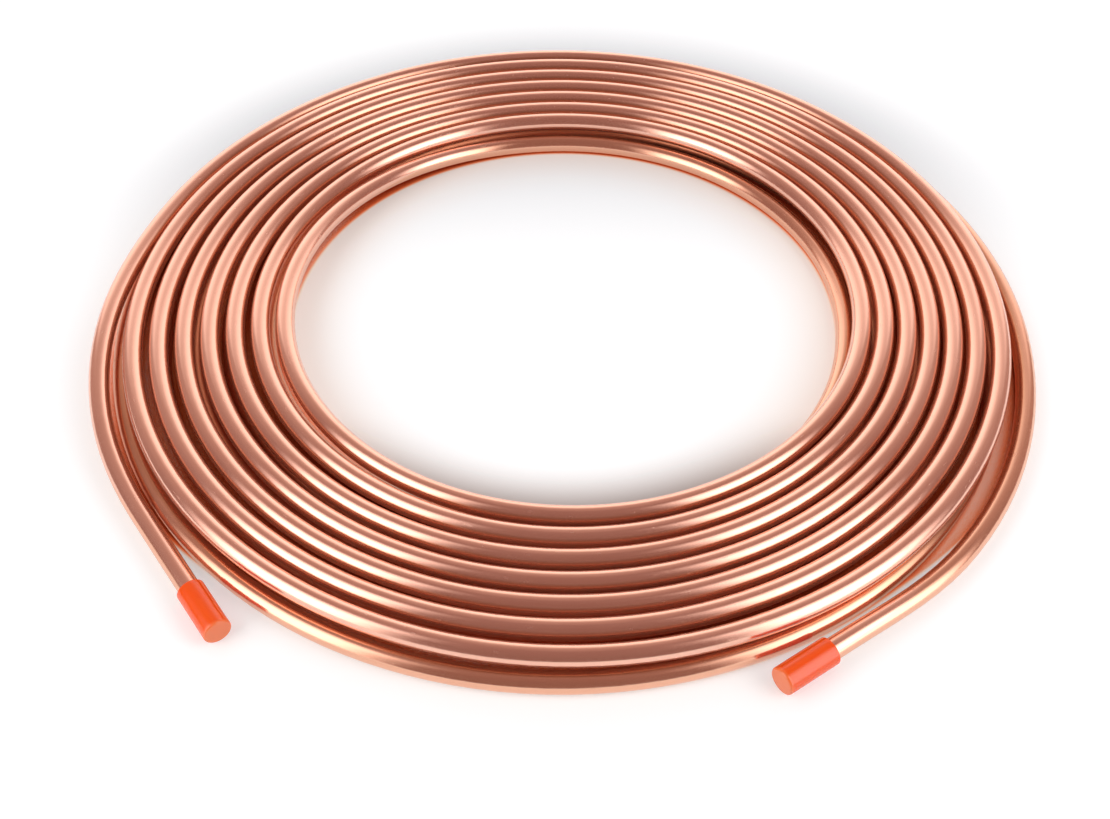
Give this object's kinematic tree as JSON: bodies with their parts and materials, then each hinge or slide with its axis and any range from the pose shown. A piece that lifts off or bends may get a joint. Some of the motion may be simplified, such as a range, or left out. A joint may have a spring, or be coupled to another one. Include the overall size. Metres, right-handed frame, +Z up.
{
  "type": "copper tube coil",
  "caption": "Flat two-layer coil of soft bare copper tube with an open centre, both free ends at the outside and closed by plastic end caps.",
  "frame": {"origin": "centre of the coil's outline, on the floor that it lies on", "axes": "+Z up through the open centre, -Y towards the two capped ends, +X to the right as seen from there"},
  "size_m": [0.4628, 0.4525, 0.0193],
  "materials": {
    "copper": "bright drawn copper",
    "cap_plastic": "smooth satin"
  },
  "bodies": {
    "root": {"copper_tube": "copper", "first_end_cap": "cap_plastic", "last_end_cap": "cap_plastic"}
  },
  "joints": []
}
